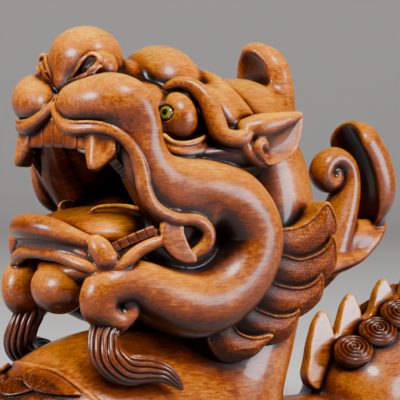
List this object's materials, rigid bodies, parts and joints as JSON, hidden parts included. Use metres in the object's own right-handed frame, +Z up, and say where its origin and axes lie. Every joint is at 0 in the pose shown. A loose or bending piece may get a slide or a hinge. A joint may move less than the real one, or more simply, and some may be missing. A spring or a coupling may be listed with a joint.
{
  "type": "carved wooden pixiu bust",
  "caption": "Carved boxwood bust of a pixiu, with an open mouth, curled jaw, horn, scalloped mane and glass eye inlays, cut flat below to stand on a shelf.",
  "frame": {"origin": "middle of the flat underside", "axes": "+Z up, -Y is where the face looks, +X is the animal's left side and the plane X = 0 is its middle"},
  "size_m": [0.0656, 0.181, 0.1232],
  "materials": {
    "carved_boxwood": "stained dark in the hollows, rubbed back to amber on the high places and waxed",
    "eye_glass": "polished, yellow-green with a black pupil"
  },
  "bodies": {
    "root": {"pixiu_bust": "carved_boxwood", "glass_eye_left": "eye_glass", "glass_eye_right": "eye_glass"}
  },
  "joints": []
}
